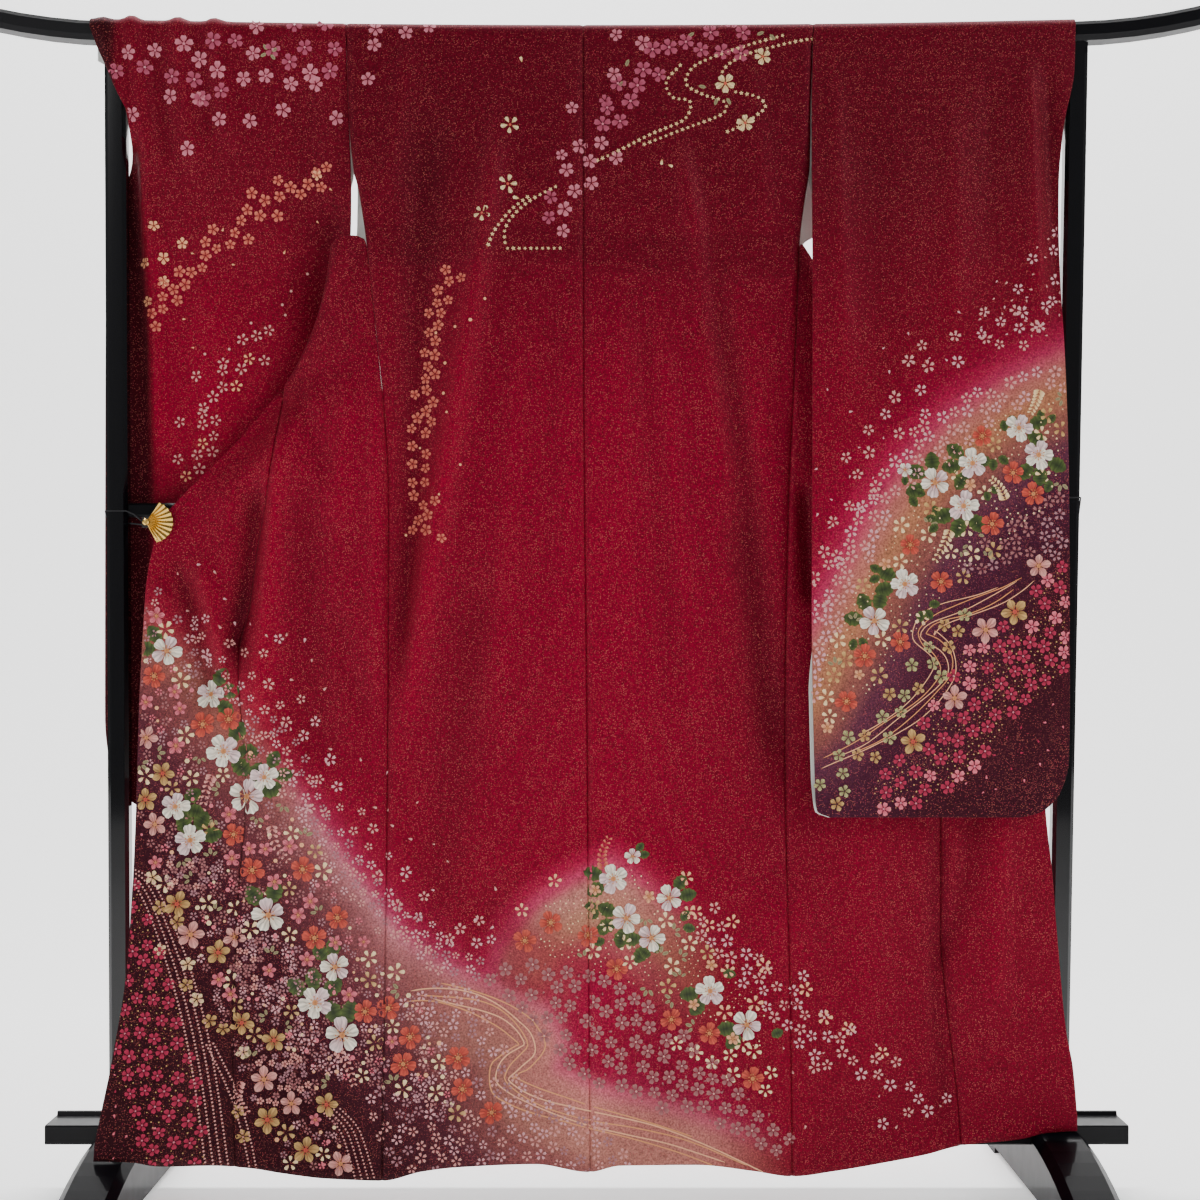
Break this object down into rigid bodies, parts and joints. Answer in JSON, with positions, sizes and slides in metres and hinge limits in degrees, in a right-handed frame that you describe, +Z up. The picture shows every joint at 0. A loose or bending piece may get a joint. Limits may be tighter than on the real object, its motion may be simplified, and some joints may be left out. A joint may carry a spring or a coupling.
{
  "type": "long-sleeved furisode kimono on a kimono stand",
  "caption": "Long-sleeved silk kimono spread over a black lacquered kimono stand, its back to the front, the front panels opened out and clipped to the uprights.",
  "frame": {"origin": "on the floor under the middle of the stand", "axes": "+X along the top bar, to the right as the kimono's back is seen; +Y from the kimono's shown back through the stand; +Z up"},
  "size_m": [1.8, 0.62, 1.6431],
  "materials": {
    "silk": "crimson figured silk with a dyed pattern, white lining",
    "lacquer": "gloss black lacquer",
    "clip": "satin black",
    "gilt": "satin gilt",
    "cord": "matte black braid"
  },
  "bodies": {
    "root": {"back_left": "silk", "back_right": "silk", "base_board": "lacquer", "clip_cord_left": "cord", "clip_cord_right": "cord", "clip_fan_left": "gilt", "clip_fan_right": "gilt", "clip_jaw_left": "clip", "clip_jaw_right": "clip", "clip_rivet_left": "gilt", "clip_rivet_right": "gilt", "collar": "silk", "foot_left": "lacquer", "foot_right": "lacquer", "front_left": "silk", "front_right": "silk", "mid_bar": "lacquer", "okumi_left": "silk", "okumi_right": "silk", "over_collar": "silk", "sleeve_left": "silk", "sleeve_right": "silk", "top_bar": "lacquer", "upright_left": "lacquer", "upright_right": "lacquer"}
  },
  "joints": []
}
